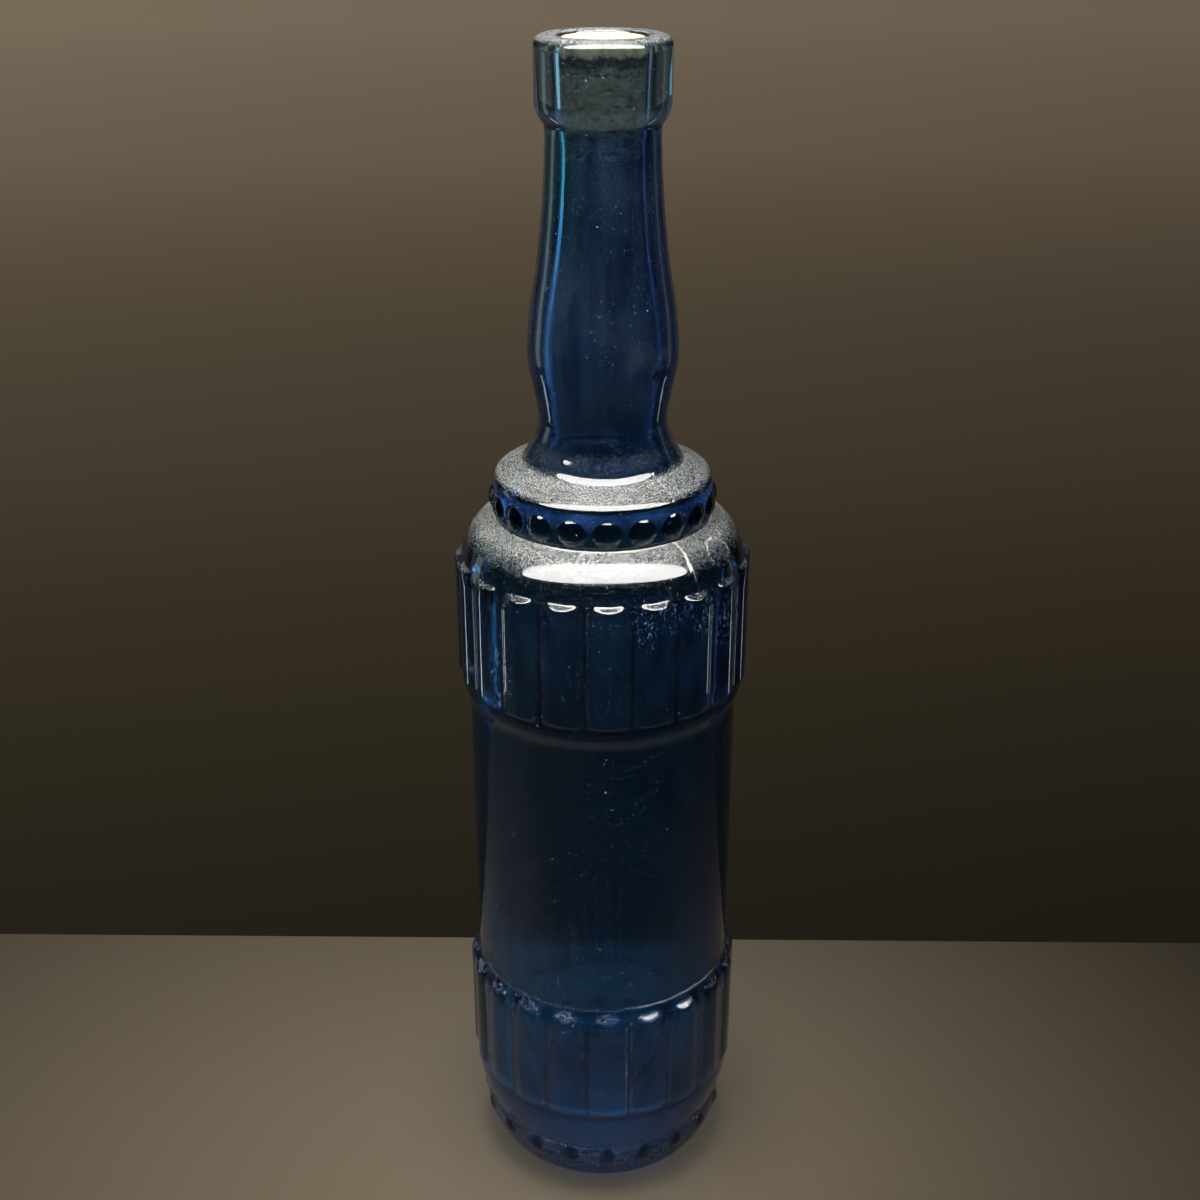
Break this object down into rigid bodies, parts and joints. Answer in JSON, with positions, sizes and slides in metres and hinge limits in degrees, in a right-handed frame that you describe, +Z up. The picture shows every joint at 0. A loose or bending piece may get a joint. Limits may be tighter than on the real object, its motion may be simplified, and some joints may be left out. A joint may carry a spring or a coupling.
{
  "type": "corked glass bottle",
  "caption": "Tall round moulded glass bottle with ribbed bands, a beaded shoulder step, a swelling neck and a cork stopper that pulls straight out of the mouth.",
  "frame": {"origin": "centre of the standing plane under the base", "axes": "+Z up along the bottle's axis to the mouth, -Y towards the side with a rib and a bead centred on it"},
  "size_m": [0.0786, 0.0786, 0.322],
  "materials": {
    "blue_glass": "smooth gloss, transparent deep blue, paler at the lip",
    "cork": "matt natural cork with dark pores"
  },
  "bodies": {
    "bottle": {"glass_bottle": "blue_glass"},
    "cork": {"cork_stopper": "cork"}
  },
  "joints": [
    {"name": "cork_pull", "type": "slide", "parent": "bottle", "child": "cork", "axis": [0, 0, 1], "range_m": [0, 0.045]}
  ]
}
